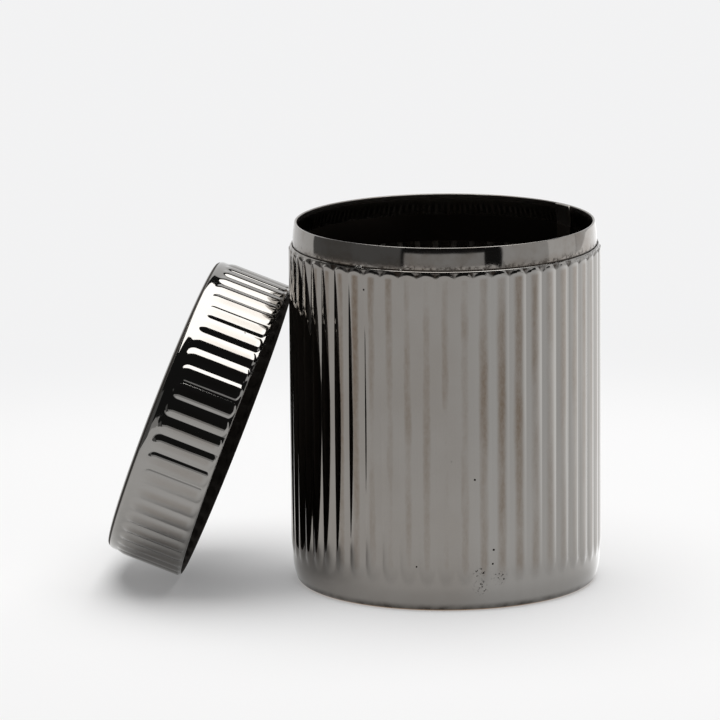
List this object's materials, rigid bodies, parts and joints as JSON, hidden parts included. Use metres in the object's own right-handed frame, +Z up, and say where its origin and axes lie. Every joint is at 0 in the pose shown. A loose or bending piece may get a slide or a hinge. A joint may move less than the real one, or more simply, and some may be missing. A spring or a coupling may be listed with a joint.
{
  "type": "reeded metal canister",
  "caption": "Round sheet-metal canister with upright reeds and a plain neck ring in its mouth; its reeded push-on lid is off and leans against its side.",
  "frame": {"origin": "where the canister's axis meets the plane of the ring that its base stands on", "axes": "+Z up along the canister's axis; the lid leans on the -X side; -Y faces the viewer of the picture"},
  "size_m": [0.1509, 0.1028, 0.111],
  "materials": {
    "body_sheet": "polished black nickel plate with faint tarnish",
    "ring_strip": "polished black nickel plate, spotted where it was soldered",
    "lid_sheet": "polished black nickel plate"
  },
  "bodies": {
    "root": {"canister_body": "body_sheet", "neck_ring": "ring_strip", "lid": "lid_sheet"}
  },
  "joints": []
}
